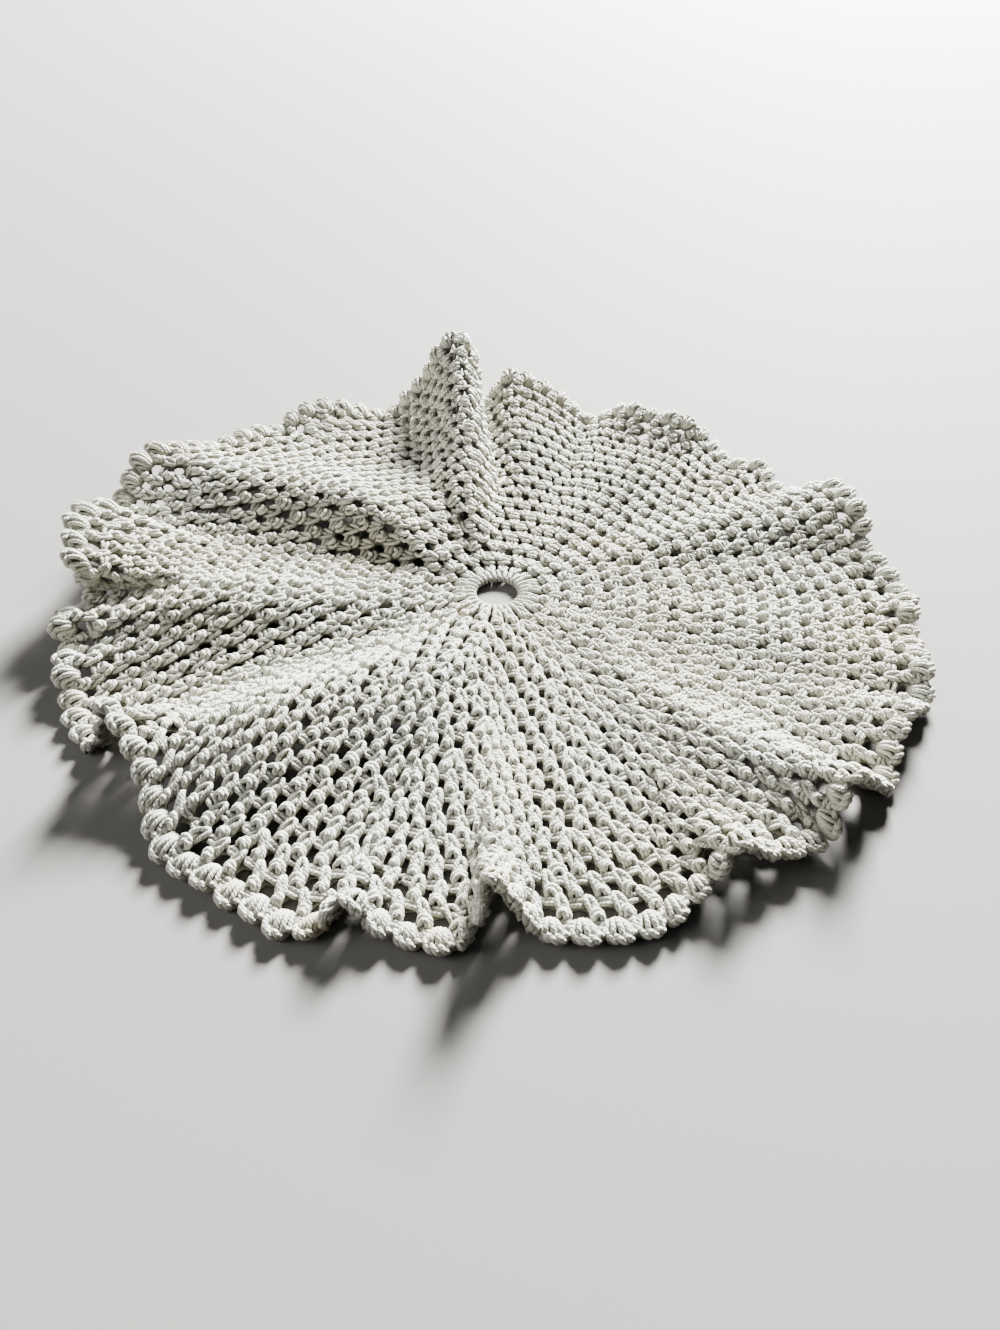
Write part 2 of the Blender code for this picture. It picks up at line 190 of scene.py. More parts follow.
def profile_weights(rho):
    """How much the inner, middle and rim heights count at rho: a natural cubic spline through
    the three rings, level at the hole."""
    knots = np.array([HOLE_RHO, INNER_RHO, MIDDLE_RHO, 1.0])
    h = np.diff(knots)
    system = np.zeros((4, 4))
    system[0, :2] = 2 * h[0], h[0]
    system[3, 3] = 1.0
    for k in (1, 2):
        system[k, k - 1:k + 2] = h[k - 1], 2 * (h[k - 1] + h[k]), h[k]
    weights = []
    for ring in (1, 2, 3):
        value = np.zeros(4)
        value[ring] = 1.0
        rise = np.diff(value) / h
        bend = np.linalg.solve(system, 6 * np.array([rise[0], rise[1] - rise[0], rise[2] - rise[1], 0.0]))
        i = np.clip(np.searchsorted(knots, rho, side="right") - 1, 0, 2)
        t = rho - knots[i]
        s = h[i] - t
        weights.append((bend[i] * s**3 + bend[i + 1] * t**3) / (6 * h[i])
                       + (value[i] / h[i] - bend[i] * h[i] / 6) * s
                       + (value[i + 1] / h[i] - bend[i + 1] * h[i] / 6) * t)
    return weights


RIM_CURVE = make_rim()
MIDDLE_RING = ring_heights(MIDDLE)
INNER_RING = ring_heights(INNER)


def fold_surface(rho, turn):
    """Middle surface of the cloth, in metres, at rho and turn. The bearing goes over from an even
    spread at the hole to the rim's own; the height never falls below the flat lie."""
    turn = turn % 1.0
    rim = {name: np.interp(turn, RIM_CURVE["turn"], RIM_CURVE[name])
           for name in ("azimuth", "reach", "lift", "curl")}
    middle = np.interp(turn, *MIDDLE_RING, period=1.0)
    inner = np.interp(turn, *INNER_RING, period=1.0)
    blend = np.clip((rho - HOLE_RHO) / 0.80, 0.0, 1.0) ** 0.9
    blend = 0.5 * blend + 0.5 * blend**2 * (3 - 2 * blend)
    azimuth = rim["azimuth"] * blend + (2 * np.pi * turn + RIM_CURVE["offset"]) * (1 - blend)
    reach = CLOTH_RADIUS * rho - (CLOTH_RADIUS - rim["reach"]) * rho**2.2
    w_inner, w_middle, w_rim = profile_weights(np.clip(rho, HOLE_RHO, 1.0))
    edge = np.clip((rho - CURL_RHO) / (1 - CURL_RHO), 0.0, 1.0)
    height = (inner * w_inner + middle * w_middle + rim["lift"] * w_rim
              + rim["curl"] * edge**2 * (3 - 2 * edge))
    height = np.maximum(height, 0.0) + THICKNESS / 2
    x, y = reach * np.sin(azimuth) + SHIFT[0], reach * np.cos(azimuth) + SHIFT[1]
    return np.stack([x, y, height], -1) * MM


def cloth_point(radius, turn, above):
    """Point of the cloth at radius (mm along the cloth) and turn, lifted by above (mm) along the
    surface's normal, which is the cross product of its two tangents; never below the table. The
    normal comes with it."""
    rho = radius / CLOTH_RADIUS
    base = fold_surface(rho, turn)
    outward = fold_surface(rho + 0.004, turn) - fold_surface(rho - 0.004, turn)
    around = fold_surface(rho, turn + 0.0008) - fold_surface(rho, turn - 0.0008)
    normal = np.cross(around, outward)
    normal /= np.linalg.norm(normal, axis=-1, keepdims=True)
    point = base + normal * (np.asarray(above) * MM)[..., None]
    point[..., 2] = np.maximum(point[..., 2], OVER_TABLE * MM)
    return point, normal


def new_piece(name, points, faces, uv, material, above=None):
    """Mesh object from whole arrays: points (n, 3), quads (m, 4), a UV pair for each corner, and
    how far each point stands above the cloth's middle."""
    mesh = bpy.data.meshes.new(name)
    mesh.vertices.add(len(points))
    mesh.vertices.foreach_set("co", points.astype(np.float32).ravel())
    mesh.loops.add(faces.size)
    mesh.loops.foreach_set("vertex_index", faces.astype(np.int32).ravel())
    mesh.polygons.add(len(faces))
    mesh.polygons.foreach_set("loop_start", np.arange(0, faces.size, 4, dtype=np.int32))
    mesh.uv_layers.new(name="strand").data.foreach_set("uv", uv.astype(np.float32).ravel())
    if above is not None:
        mesh.attributes.new(name="above", type="FLOAT", domain="POINT").data.foreach_set(
            "value", above.astype(np.float32).ravel())
    mesh.update(calc_edges=True)
    mesh.shade_smooth()
    mesh.materials.append(material)
    piece = bpy.data.objects.new(name, mesh)
    bpy.context.scene.collection.objects.link(piece)
    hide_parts("doily")
    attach(piece, "root")
    return piece


PLIES = 3.0
PLY_TURN = 1.9            # strand widths along the strand in one turn of its plies
FLUFF_SCALE, YELLOWING_SCALE = 3800.0, 28.0
PLY_RELIEF = 0.14         # height of the plies in the bump
WHITE, YELLOWED = (0.63, 0.635, 0.565, 1.0), (0.61, 0.60, 0.49, 1.0)
# painted shade colours for the grooves between plies and for yarn lying low in the fabric; the tan serves the
# old stains and the broad painted warm shade
GROOVE_SHADE, DEPTH_SHADE, TAN_STAIN_AND_WARM_SHADE = (0.38, 0.365, 0.31, 1.0), (0.29, 0.28, 0.235, 1.0), (0.50, 0.385, 0.22, 1.0)


def cotton_yarn():
    """Soft cotton of three plies with a faint gloss. The ply number is PLIES (U + V / PLY_TURN),
    where U runs once round the strand and V along it in strand widths, so the plies lie at about
    59 degrees to it; each ply is a parabola across its width, and the grooves between plies are
    painted darker as shade. Fine noise is the fluff, broad noise the yellowing of washed cotton;
    yarn that lies low in the fabric is painted darker as shade, by 0.68 - 0.62 above; the small
    spots are old stains, and broad faint tan patches are painted warm shade on the folds' shaded sides."""
    material = bpy.data.materials.new("cotton_yarn")
    material.use_nodes = True
    nodes, links = material.node_tree.nodes, material.node_tree.links
    shader = nodes["Principled BSDF"]
    shader.inputs["Roughness"].default_value = 0.52
    shader.inputs["Specular IOR Level"].default_value = 0.6
    shader.inputs["Sheen Weight"].default_value = 0.12
    shader.inputs["Sheen Roughness"].default_value = 0.6

    def maths(operation, a, b=None, c=None):
        node = nodes.new("ShaderNodeMath")
        node.operation = operation
        for socket, value in zip(node.inputs, (a, b, c)):
            if isinstance(value, (int, float)):
                socket.default_value = value
            elif value is not None:
                links.new(value, socket)
        return node.outputs[0]

    def noise(scale, detail):
        node = nodes.new("ShaderNodeTexNoise")
        node.inputs["Scale"].default_value = scale
        node.inputs["Detail"].default_value = detail
        links.new(place, node.inputs["Vector"])
        return node.outputs["Fac"]

    def mixed(share, a, b):
        node = nodes.new("ShaderNodeMix")
        node.data_type = "RGBA"
        for socket, value in ((node.inputs["Factor"], share), (node.inputs[6], a), (node.inputs[7], b)):
            if isinstance(value, (int, float, tuple)):
                socket.default_value = value
            else:
                links.new(value, socket)
        return node.outputs[2]

    strand = nodes.new("ShaderNodeUVMap")
    strand.uv_map = "strand"
    split = nodes.new("ShaderNodeSeparateXYZ")
    links.new(strand.outputs[0], split.inputs[0])
    place = nodes.new("ShaderNodeTexCoord").outputs["Object"]
    ply = maths("FRACT", maths("MULTIPLY", maths("ADD", split.outputs[0],
                                                maths("DIVIDE", split.outputs[1], PLY_TURN)), PLIES))
    across = maths("ABSOLUTE", maths("MULTIPLY_ADD", ply, 2.0, -1.0))
    crown = maths("SUBTRACT", 1.0, maths("POWER", across, 2.0))
    fluff = noise(FLUFF_SCALE, 3.0)
    height = maths("MULTIPLY_ADD", fluff, 1.2, crown)
    bump = nodes.new("ShaderNodeBump")
    bump.inputs["Strength"].default_value = 1.0
    bump.inputs["Distance"].default_value = PLY_RELIEF * MM
    links.new(height, bump.inputs["Height"])
    links.new(bump.outputs[0], shader.inputs["Normal"])

    broad = maths("MULTIPLY_ADD", noise(YELLOWING_SCALE, 2.0), 2.2, -0.6)
    cloth = mixed(maths("MINIMUM", maths("MAXIMUM", broad, 0.0), 1.0),
                  WHITE, YELLOWED)
    # painted shade: the grooves between the plies are darkened
    cloth = mixed(maths("MULTIPLY", maths("SUBTRACT", 1.0, crown), 0.42), cloth, GROOVE_SHADE)
    # painted shade: the lower a point of the yarn lies in the fabric, the darker its colour is painted
    above = nodes.new("ShaderNodeAttribute")
    above.attribute_name = "above"
    painted_depth_shade = maths("MULTIPLY_ADD", above.outputs["Fac"], -0.62, 0.68)
    cloth = mixed(maths("MINIMUM", maths("MAXIMUM", painted_depth_shade, 0.0), 0.85), cloth, DEPTH_SHADE)
    # the small spots are old stains; the broad faint patches are painted warm shade on the shaded sides of
    # the folds
    for spot, width, depth in STAINS_AND_WARM_SHADE:
        near = nodes.new("ShaderNodeVectorMath")
        near.operation = "DISTANCE"
        near.inputs[1].default_value = tuple(float(c) for c in spot)
        links.new(place, near.inputs[0])
        reach = maths("MULTIPLY_ADD", maths("DIVIDE", near.outputs["Value"], -width * MM), 1.6, 1.6)
        share = maths("MULTIPLY", maths("MINIMUM", maths("MAXIMUM", reach, 0.0), 1.0), depth)
        cloth = mixed(share, cloth, TAN_STAIN_AND_WARM_SHADE)
    links.new(cloth, shader.inputs["Base Color"])
    return material


# Faint tan marks: radius and turn (degrees) of the middle, width, and how strong. The four small
# ones are old stains; the five broad ones are painted warm shade on the shaded sides of the folds.
STAIN_AND_WARM_SHADE_ROWS = ((14.0, 246.0, 2.6, 0.55), (119.0, 221.5, 5.0, 0.30), (117.5, 231.0, 3.5, 0.25),
              (116.5, 209.0, 5.0, 0.22), (36.0, 86.0, 15.0, 0.12), (44.0, 318.0, 16.0, 0.16),
              (110.0, 40.0, 18.0, 0.14), (108.0, 122.0, 20.0, 0.14), (108.0, 268.0, 14.0, 0.12))
STAINS_AND_WARM_SHADE = [(cloth_point(np.array(radius), np.array(turn / 360), np.array(1.0))[0], width, depth)
          for radius, turn, width, depth in STAIN_AND_WARM_SHADE_ROWS]
COTTON = cotton_yarn()


def shaded_inner_loops():
    """The same cotton inside the crochet, painted dark as shade, with noise for its loops."""
    material = bpy.data.materials.new("shaded_inner_loops")
    material.use_nodes = True
    nodes, links = material.node_tree.nodes, material.node_tree.links
    shader = nodes["Principled BSDF"]
    # painted shade: the dark base colour stands for inner loops lying in shade
    shader.inputs["Base Color"].default_value = (0.25, 0.235, 0.19, 1.0)
    shader.inputs["Roughness"].default_value = 0.95
    loops = nodes.new("ShaderNodeTexNoise")
    loops.inputs["Scale"].default_value = 900.0
    links.new(nodes.new("ShaderNodeTexCoord").outputs["Object"], loops.inputs["Vector"])
    bump = nodes.new("ShaderNodeBump")
    bump.inputs["Distance"].default_value = 0.0004
    links.new(loops.outputs["Fac"], bump.inputs["Height"])
    links.new(bump.outputs[0], shader.inputs["Normal"])
    return material


# Stretches where the steep side of a fold draws the gaps smaller, and the share that stays open.
DRAWN_CLOSE = ((246.0, 277.0), (305.0, 334.0))
DRAWN_SHARE = 0.70
GAP_ROW = 0.70            # middle of a gap, in rounds, outward from the round's inner edge
# half the width (in stitches) and half the depth (in rounds) of a gap, and what chance adds
GAP_WIDE, GAP_TALL, GAP_CHANCE = 0.35, 0.385, 0.03
EYELET_WIDE, FOOT_WIDE = 0.38, 0.34   # half the width at a shell's foot, where open and elsewhere
LOOPS_BELOW = -0.8        # the inner cloth, from the middle of the crochet
STRIP_BELOW = -0.3        # the same under the shells
LOOPS_THICK = 0.6
TIP_RADIUS, NOTCH = 120.6, 2.6        # the scallops of the strip under the shells


def within(degrees, stretches, margin=0.0):
    """Whether each turn lies in one of the stretches, or nearer to it than margin."""
    return sum((degrees >= a - margin) & (degrees <= b + margin) for a, b in stretches) > 0


def nearest_gap(places, before):
    """For each place of a round, the nearest gap of the round before, in turns."""
    gaps = before + 0.5 * (np.append(before[1:], before[0] + 1) - before)
    away = (gaps[None, :] - places[:, None] + 0.5) % 1.0 - 0.5
    return places + away[np.arange(len(places)), np.abs(away).argmin(1)]


def all_places(chance):
    """Where the heads of the stitches stand, in turns, round by round: spread evenly, but each one
    drawn half way over its foot. The last round has a gap under every shell's tip."""
    rounds = []
    for number, count in enumerate(STITCHES, 2):
        even = (np.arange(count) + (0.75 if number == LAST_ROUND else (0.37 * number) % 1.0)) / count
        if 2 < number < LAST_ROUND:
            pull = nearest_gap(even, rounds[-1]) - even
            pull = sum(np.roll(pull, shift) for shift in (-1, 0, 0, 1)) / 4
            even = even + 0.55 * pull + 0.04 / count * chance.uniform(-1, 1, count)
        rounds.append(even)
    return rounds


def gap_cells(number, places, chance):
    """One round of the inner cloth. A cell is the patch between two stitches: eight points on its
    edge and eight on the gap's ellipse; cells share their edges."""
    count = len(places)
    corner = np.array([(0, 0), (0.5, 0), (1, 0), (1, 0.5), (1, 1), (0.5, 1), (0, 1), (0, 0.5)])
    lean = np.arctan2(corner[:, 1] - 0.5, corner[:, 0] - 0.5)
    wide = GAP_WIDE + GAP_CHANCE * chance.random(count)
    tall = GAP_TALL + GAP_CHANCE * chance.random(count)
    close = within(places % 1.0 * 360, DRAWN_CLOSE)
    wide, tall = (size * np.where(close, DRAWN_SHARE, 1.0) for size in (wide, tall))
    if number == LAST_ROUND:
        tip = (np.arange(count) + 0.25 + 1.0) * 360 / count
        wide = np.where(within(tip % 360, OPEN_EYELETS), EYELET_WIDE, FOOT_WIDE)
    ellipse = np.stack([0.5 + wide[:, None] * np.cos(lean), 0.5 + tall[:, None] * np.sin(lean)], -1)
    rings = np.stack([np.broadcast_to(corner, ellipse.shape), ellipse], 1)
    rings[..., 0] += np.arange(count)[:, None, None]
    flat = rings.reshape(-1, 2)
    keys = np.round(flat * 4096).astype(np.int64)
    keys[:, 0] %= 4096 * count
    _, first, index = np.unique(keys, axis=0, return_index=True, return_inverse=True)
    index = index.reshape(count, 2, 8)
    around = np.roll(index, -1, 2)
    faces = np.stack([index[:, :-1], around[:, :-1], around[:, 1:], index[:, 1:]], -1).reshape(-1, 4)
    radius = round_radius(number, GAP_ROW - 0.5 + flat[first, 1])
    turn = np.interp(flat[first, 0], np.arange(count + 2), np.append(places, places[:2] + 1))
    points, _ = cloth_point(radius, turn, np.full(len(radius), LOOPS_BELOW))
    corners = np.stack([rings[:, :-1], np.roll(rings, -1, 2)[:, :-1], np.roll(rings, -1, 2)[:, 1:],
                        rings[:, 1:]], 3).reshape(-1, 2)
    uv = np.column_stack([corners[:, 1] * 1.3, corners[:, 0] * 2.0])
    return points, faces, uv


chance = np.random.default_rng(7)
PLACES = all_places(chance)
parts = [gap_cells(number, places, chance) for number, places in enumerate(PLACES, 2)]
# The last strip lies under the shells and follows their scallops.
columns = np.arange(4 * SHELLS)
inner_radius = round_radius(LAST_ROUND, GAP_ROW + 0.5)
outline = TIP_RADIUS - NOTCH * np.tile((0.30, 0.0, 0.30, 1.0), SHELLS)
rows = np.linspace(0.0, 1.0, 3)[:, None]
points, _ = cloth_point(inner_radius + (outline - inner_radius) * rows,
                        np.tile(columns / (4 * SHELLS), (3, 1)), np.full((3, 4 * SHELLS), STRIP_BELOW))
grid = np.arange(12 * SHELLS).reshape(3, -1)
beside = np.roll(grid, -1, 1)
faces = np.stack([grid[:-1], beside[:-1], beside[1:], grid[1:]], -1).reshape(-1, 4)
uv = np.stack([np.tile((0.0, 0.0, 1.0, 1.0), len(faces)), np.tile((0.0, 1.0, 1.0, 0.0), len(faces))], -1)
parts.append((points.reshape(-1, 3), faces, uv))
starts = np.cumsum([0] + [len(p[0]) for p in parts[:-1]])
inner = new_piece("inner_cloth", np.concatenate([p[0] for p in parts]),
                  np.concatenate([p[1] + s for p, s in zip(parts, starts)]),
                  np.concatenate([p[2] for p in parts]), shaded_inner_loops())
wall = inner.modifiers.new("loops' thickness", "SOLIDIFY")
wall.thickness = LOOPS_THICK * MM
wall.offset = 0.0

# ---------------------------------------------------------------------------------------------
# The rounds of stitches: double crochet with a chain between, worked into the chains of the round
# before. Each stitch is one stretch of the yarn: the chain, a middle leg, the loop whose two legs
# hang over the chain before, and the knob of two loops that wraps the legs' lower ends.
YARN = 1.35               # strand width
SIDES = 5
STITCH_RINGS = 49
STITCH_WIDTH = 3.4        # room a stitch takes; its chain fills the rest
KNOB = 0.80               # its middle, in rounds
# across (stitches), outward (rounds) and above the cloth's middle (strand widths)
STITCH = (
    # the chain, there and back below the knob
    (-0.50, 1.15, -0.30), (-0.28, 1.14, 0.25), (-0.02, 1.10, 0.50), (0.24, 1.09, 0.20), (0.44, 1.18, -0.30),
    (0.28, 1.29, 0.15), (0.02, 1.31, 0.42), (-0.24, 1.27, 0.10), (-0.40, 1.16, -0.80),
    # the knob's outer loop, round its inner side
    (-0.35, 0.99, -0.20), (-0.36, 0.85, 0.48), (-0.28, 0.70, 0.82), (-0.03, 0.63, 0.95), (0.22, 0.66, 0.72),
    (0.34, 0.79, 0.20), (0.27, 0.95, -0.60), (0.02, 1.07, -0.80),
    # the knob's second loop, on its outer side
    (-0.20, 1.05, 0.00), (-0.18, 0.94, 0.82), (-0.05, 0.82, 1.28), (0.14, 0.82, 1.15), (0.28, 0.94, 0.48),
    (0.22, 1.05, -0.50), (-0.02, 0.90, -0.80), (-0.24, 0.66, -0.50),
    # the loop: up its left leg, over the chain before, down its right leg
    (-0.34, 0.53, 0.15), (-0.33, 0.37, 0.50), (-0.26, 0.18, 0.68), (-0.16, 0.04, 0.66), (0.00, -0.03, 0.54),
    (0.16, 0.04, 0.62), (0.24, 0.18, 0.65), (0.30, 0.37, 0.50), (0.30, 0.53, 0.15), (0.13, 0.62, -0.15),
    # the middle leg, and behind the knob into the next chain
    (-0.01, 0.52, 0.42), (-0.02, 0.35, 0.42), (0.03, 0.18, -0.20), (0.22, 0.50, -1.00), (0.40, 0.98, -0.90),
    (0.50, 1.15, -0.30))


def along(table, scale, rings):
    """Points along a Catmull-Rom curve through the rows of table, whose last row is its first one
    repeat further; scale turns its columns into millimetres. The points lie closer where the curve
    turns sharply, and farther apart behind the cloth."""
    rows = np.array(table)
    repeat = rows[-1] - rows[0]
    knots = np.vstack([rows[-2] - repeat, rows, rows[1] + repeat])
    a, b, c, d = (knots[i:i + len(rows) - 1, None] for i in range(4))
    q = np.linspace(0.0, 1.0, 24, endpoint=False)[:, None]
    curve = (b + 0.5 * q * (c - a) + q**2 * (a - 2.5 * b + 2 * c - 0.5 * d)
             + q**3 * (1.5 * (b - c) + 0.5 * (d - a))).reshape(-1, 3)
    curve = np.vstack([curve, rows[-1]])
    piece = np.diff(curve, axis=0) * scale
    step = np.linalg.norm(piece, axis=1)
    ahead = piece / step[:, None]
    bend = np.linalg.norm(np.roll(ahead, -1, 0) - np.roll(ahead, 1, 0), axis=1) / (2 * step)
    weight = (1 + 0.6 * np.minimum(bend, 2.0)) * np.clip(0.9 + 1.2 * curve[1:, 2], 0.35, 1.0)
    length = np.concatenate([[0.0], np.cumsum(step * weight)])
    even = np.linspace(0.0, length[-1], rings, endpoint=False)
    return np.stack([np.interp(even, length, curve[:, i]) for i in range(3)], -1)


def strand(centres, normals, width, above, sides=SIDES):
    """Closed round tube along centres: each ring lies square to the path, and its first point
    stands on the side of the cloth's normal. UV is once round the strand, and widths along it."""
    ahead = np.roll(centres, -1, 0) - np.roll(centres, 1, 0)
    ahead /= np.linalg.norm(ahead, axis=1, keepdims=True)
    up = normals - (normals * ahead).sum(1, keepdims=True) * ahead
    up /= np.linalg.norm(up, axis=1, keepdims=True)
    aside = np.cross(ahead, up)
    angle = 2 * np.pi * np.arange(sides) / sides
    radius = 0.5 * width * MM
    points = (centres[:, None] + radius * (np.cos(angle)[None, :, None] * up[:, None]
                                           + np.sin(angle)[None, :, None] * aside[:, None]))
    points[..., 2] = np.maximum(points[..., 2], OVER_TABLE * MM)
    count = len(centres)
    grid = np.arange(count * sides).reshape(count, sides)
    side, ring = np.roll(grid, -1, 1), np.roll(grid, -1, 0)
    faces = np.stack([grid, side, np.roll(ring, -1, 1), ring], -1).reshape(-1, 4)
    step = np.linalg.norm(np.roll(centres, -1, 0) - centres, axis=1)
    run = np.concatenate([[0.0], np.cumsum(step)]) / (width * MM)
    u = np.arange(sides + 1) / sides
    corner_u = np.stack([u[:-1], u[1:], u[1:], u[:-1]], -1)
    corner_v = np.stack([run[:-1], run[:-1], run[1:], run[1:]], -1)
    uv = np.stack([np.broadcast_to(corner_u[None], (count, sides, 4)),
                   np.broadcast_to(corner_v[:, None], (count, sides, 4))], -1).reshape(-1, 2)
    return points.reshape(-1, 3), faces, uv, above.reshape(-1, 1) + 0.5 * np.cos(angle)


def joined(name, strands):
    """One piece from several strands."""
    starts = np.cumsum([0] + [len(s[0]) for s in strands[:-1]])
    return new_piece(name, np.concatenate([s[0] for s in strands]),
                     np.concatenate([s[1] + start for s, start in zip(strands, starts)]),
                     np.concatenate([s[2] for s in strands]), COTTON,
                     np.concatenate([s[3] for s in strands]))


def stitch_round(number, chance):
    """One round: the stitch's path at every stitch. Its foot leans to the nearest chain of the
    round before, with the share of the lean falling smoothly to nothing at the head; where the
    stitches stand far apart only their chains widen. Chance adds a little unevenness that dies
    out where one stitch passes into the next."""
    places = PLACES[number - 2]
    count = len(places)
    ring, _ = cloth_point(np.full(720, round_radius(number, 0.8)), np.arange(720) / 720, np.zeros(720))
    pitch = np.linalg.norm(np.roll(ring, -1, 0) - ring, axis=1).sum() / MM / count
    path = along(STITCH, (pitch, ROUND_DEPTH, YARN), STITCH_RINGS)
    across, outward, above = (np.tile(path[:, i], (count, 1)) for i in range(3))
    narrow = np.full((count, 1), min(1.0, STITCH_WIDTH / pitch))
    if number == LAST_ROUND:
        narrow = narrow * np.where(within(places[:, None] * 360, OPEN_EYELETS, 2.0), 0.82, 1.0)
    across = across * (1 - (1 - narrow) * np.clip((1.2 - outward) / 0.2, 0.0, 1.0))
    if number > 2:
        lean = (nearest_gap(places, PLACES[number - 3]) - places)[:, None] * count + 0.10
        across = across + lean * np.clip(1 - outward / 0.8, 0.0, 1.15) ** 1.5
    run = np.linspace(0.0, 1.0, STITCH_RINGS, endpoint=False)
    fade = np.sin(np.pi * run) ** 0.5

    def sway(size):
        """Smooth wandering along each stitch: two waves of chance phase and strength."""
        waves = [chance.normal(size=(count, 1))
                 * np.sin(2 * np.pi * (cycles * run + chance.random((count, 1)))) for cycles in (2, 5)]
        return size * fade * (chance.normal(size=(count, 1)) + 0.6 * waves[0] + 0.5 * waves[1])

    # each knob is turned a little its own way about its middle, and made a little larger or smaller
    knob = np.exp(-((outward - KNOB) / 0.21) ** 2) * np.clip(above + 0.3, 0.0, 1.0)
    angle = knob * chance.uniform(-0.8, 0.8, (count, 1))
    aside, ahead = across * pitch, (outward - KNOB) * ROUND_DEPTH
    swell = 1 + 0.18 * np.sqrt(knob) * chance.uniform(-1, 1, (count, 1))
    across = swell * (aside * np.cos(angle) - ahead * np.sin(angle)) / pitch
    outward = KNOB + swell * (aside * np.sin(angle) + ahead * np.cos(angle)) / ROUND_DEPTH
    across = across * (1 + 0.09 * fade * chance.uniform(-1, 1, (count, 1))) + sway(0.052)
    outward = outward + sway(0.032)
    above = above + sway(0.12)
    index = np.arange(count)[:, None] + across
    turn = np.interp(index, np.arange(-2, count + 2),
                     np.concatenate([places[-2:] - 1, places, places[:2] + 1]))
    centres, normals = cloth_point(round_radius(number, outward).ravel(), turn.ravel(), above.ravel() * YARN)
    return strand(centres, normals, YARN, above)


BANDS = (("stitches_inner", 2, 9), ("stitches_middle", 10, 12), ("stitches_wide", 13, 14),
         ("stitches_outer", 15, 16), ("stitches_last", 17, 18))
for name, first, last in BANDS:
    joined(name, [stitch_round(number, chance) for number in range(first, last + 1)])

# ---------------------------------------------------------------------------------------------
# The starting ring: the first round's legs, wound close together round the ring of yarn in the
# middle, so that the centre hole has a firm round edge.
RING_RADIUS, WRAPS, WRAP_RINGS = 8.3, 30, 16
WRAP_OUT, WRAP_UP = 1.9, 0.9          # how far a wrap swings outward and up from its middle
wind = 2 * np.pi * np.arange(WRAPS * WRAP_RINGS) / WRAP_RINGS
centres, normals = cloth_point(RING_RADIUS + WRAP_OUT * np.cos(wind), np.arange(len(wind)) / len(wind),
                               0.1 + WRAP_UP * np.sin(wind))
joined("starting_ring", [strand(centres, normals, YARN, WRAP_UP * np.sin(wind))])

# ---------------------------------------------------------------------------------------------
# The shell edging: in every space of the last round, a fan of three stitches, whose five strands
# spread from the foot of the shell to the rim, and between two shells a short twisted pair that
# holds the notch. A chain runs along the edge.
FOOT_RADIUS = 114.6       # feet of the shells
SHELL_PITCH = 7.0         # across in SHELL, from one shell to the next
SHELL_RINGS = 86
FAN_YARN, EDGE_YARN = 1.38, 1.45      # strand widths, the yarn here being less tightly drawn
# Across and outward from the foot (mm), above the cloth's middle (strand widths). Every strand of
# the fan goes over the rim and the foot to the back before it turns into the next.
SHELL = (
    # over the notch, then five strands between the foot and the rim
    (-3.50, 3.2, -0.10), (-3.20, 4.0, -0.50), (-2.80, 3.8, 0.20), (-2.15, 2.2, 0.50), (-1.50, 0.6, 0.20),
    (-1.20, -0.2, -0.70), (-0.80, 0.6, 0.55), (-1.10, 2.2, 1.20), (-1.50, 4.0, 1.10), (-1.60, 5.4, 0.10),
    (-1.10, 5.6, -0.70), (-0.45, 5.7, 0.20), (-0.10, 4.2, 1.30), (0.00, 2.2, 1.45), (-0.10, 0.6, 0.60),
    (0.25, -0.2, -0.70), (0.75, 0.6, 0.45), (1.05, 2.2, 1.15), (1.45, 4.0, 1.10), (1.65, 5.3, 0.10),
    (2.10, 5.3, -0.70), (2.60, 4.7, 0.00), (2.65, 3.6, 0.35), (2.10, 2.2, 0.45), (1.50, 0.6, 0.10),
    (2.30, 0.0, -0.80), (3.05, 0.8, -0.60),
    # the twisted pair between two shells
    (3.30, 2.2, 0.00), (3.62, 3.2, -0.10), (3.75, 2.2, 0.25), (3.35, 0.7, 0.30), (3.50, -0.9, -0.40),
    (3.72, 0.7, 0.20), (3.30, 2.1, 0.35), (3.50, 3.2, -0.10))
EDGE_RINGS = 22


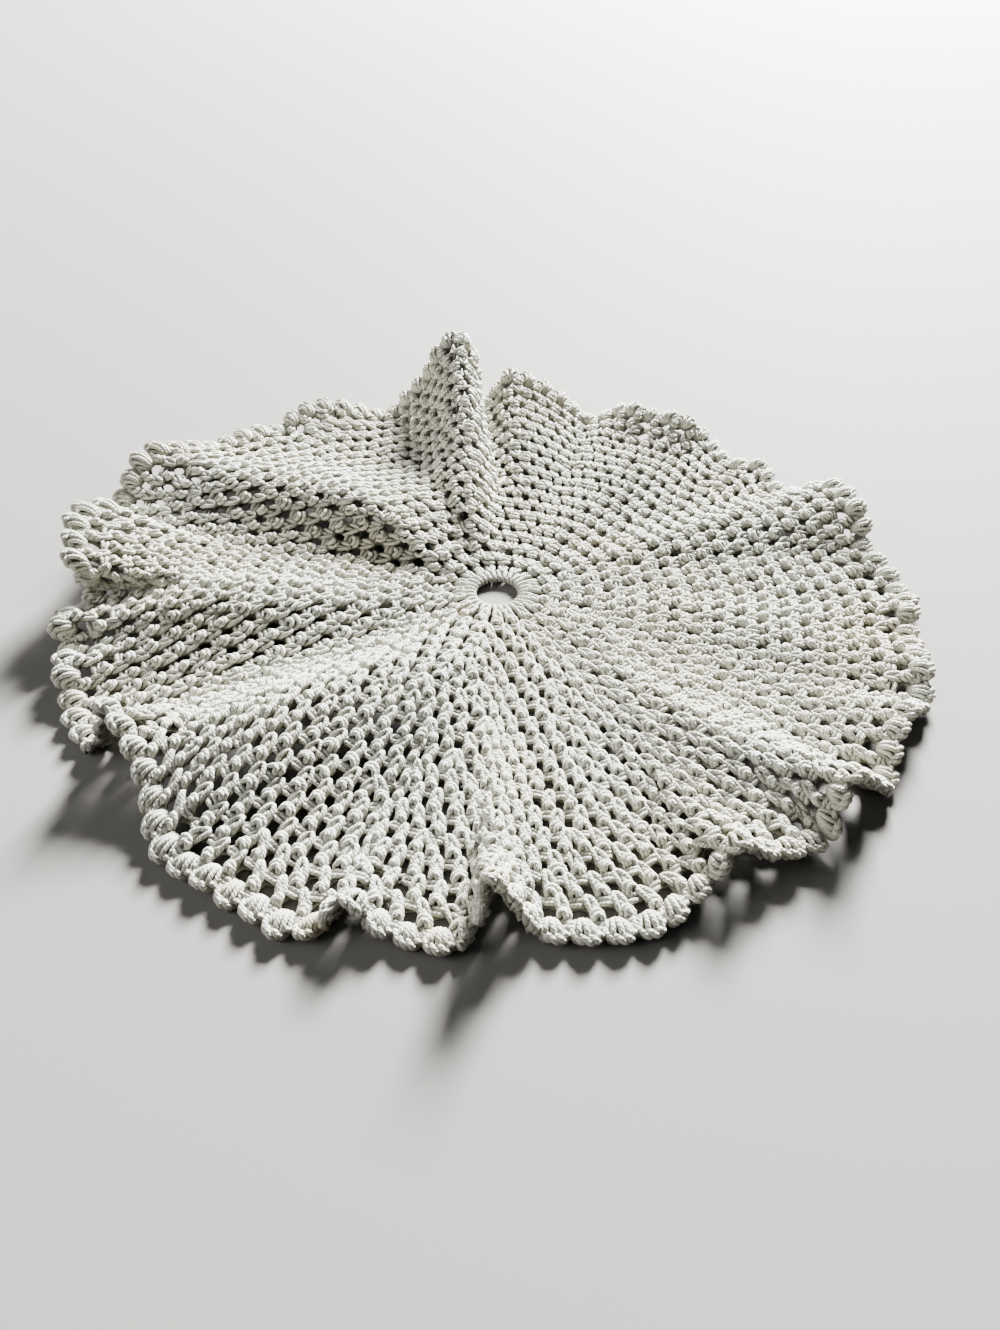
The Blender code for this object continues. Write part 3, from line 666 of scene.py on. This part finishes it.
def shell_strands():
    """The fans as one strand round the rim, and the edge: two strands plaited round each other,
    two turns to a shell, along the line 5.75 - 2.9 |x|^2.3, x running from -1 to 1 across the shell.
    Chance makes some shells plumper and longer than others."""
    path = along(SHELL, (1.0, 1.0, YARN), SHELL_RINGS)
    across, outward, above = (np.tile(path[:, i], (SHELLS, 1)) for i in range(3))
    tip = np.arange(SHELLS)[:, None] + 0.25
    fade = np.sin(np.pi * np.linspace(0.0, 1.0, SHELL_RINGS, endpoint=False)) ** 0.5
    longer, plumper = chance.uniform(-0.7, 0.4, (SHELLS, 1)), chance.uniform(-0.25, 0.35, (SHELLS, 1))
    outward = outward + longer * fade * outward / 6
    across = across + 0.3 * fade * chance.uniform(-1, 1, (SHELLS, 1))
    above = above + plumper * fade
    centres, normals = cloth_point((FOOT_RADIUS + outward).ravel(),
                                   ((tip + across / SHELL_PITCH) / SHELLS).ravel(), above.ravel() * YARN)
    strands = [strand(centres, normals, FAN_YARN, above)]
    x = np.linspace(-1.0, 1.0, EDGE_RINGS, endpoint=False)[None, :]
    for start in (0.0, np.pi):
        twist = 2 * np.pi * x + start
        outward = 5.75 + longer * (1 - np.abs(x)) - 2.9 * np.abs(x) ** 2.3 + 0.65 * np.cos(twist)
        above = (0.75 + plumper) * (1 - x**2) - 0.1 + 0.42 * np.sin(twist)
        centres, normals = cloth_point((FOOT_RADIUS + outward).ravel(), ((tip + 0.5 * x) / SHELLS).ravel(),
                                       (above * YARN).ravel())
        strands.append(strand(centres, normals, EDGE_YARN, above))
    return strands


fans, edge_one, edge_two = shell_strands()
joined("shells", [fans])
joined("edge_chain", [edge_one, edge_two])

# ---------------------------------------------------------------------------------------------
# The studio: a plain pale floor, a soft window-like light from behind and to the right, and a
# weak one from the front; the camera looks down at the doily from its front.


def soft_light(name, place, size, power):
    """Square area light aimed at the middle of the doily."""
    data = bpy.data.lights.new(name, "AREA")
    data.shape = "SQUARE"
    data.size = size
    data.energy = power
    light = bpy.data.objects.new(name, data)
    light.location = place
    light.rotation_euler = (-Vector(place)).to_track_quat("-Z", "Y").to_euler()
    bpy.context.scene.collection.objects.link(light)


soft_light("window light", (0.70, 1.90, 1.10), 0.66, 425.0)
soft_light("room light", (-1.4, -0.3, 0.7), 1.0, 14.0)
world = bpy.data.worlds.new("studio")
world.use_nodes = True
world.node_tree.nodes["Background"].inputs["Color"].default_value = (0.90, 0.94, 1.0, 1.0)
world.node_tree.nodes["Background"].inputs["Strength"].default_value = 0.07
bpy.context.scene.world = world
bpy.context.scene.view_settings.look = "AgX - Medium High Contrast"

corners = np.array([(-3.0, -3.0, 0.0), (3.0, -3.0, 0.0), (3.0, 3.0, 0.0), (-3.0, 3.0, 0.0)])
floor_mesh = bpy.data.meshes.new("floor")
floor_mesh.from_pydata(corners.tolist(), [], [(0, 1, 2, 3)])
floor = bpy.data.objects.new("floor", floor_mesh)
bpy.context.scene.collection.objects.link(floor)
pale = bpy.data.materials.new("pale floor")
pale.use_nodes = True
pale.node_tree.nodes["Principled BSDF"].inputs["Base Color"].default_value = (0.27, 0.26, 0.245, 1.0)
pale.node_tree.nodes["Principled BSDF"].inputs["Roughness"].default_value = 0.8
floor_mesh.materials.append(pale)

lens = bpy.data.cameras.new("camera")
lens.lens = 28.42
lens.sensor_width = 36.0
camera = bpy.data.objects.new("camera", lens)
camera.location = (0.00227, -0.23604, 0.18445)
camera.rotation_euler = (np.radians(48.5), 0.0, 0.0)
bpy.context.scene.collection.objects.link(camera)
bpy.context.scene.camera = camera
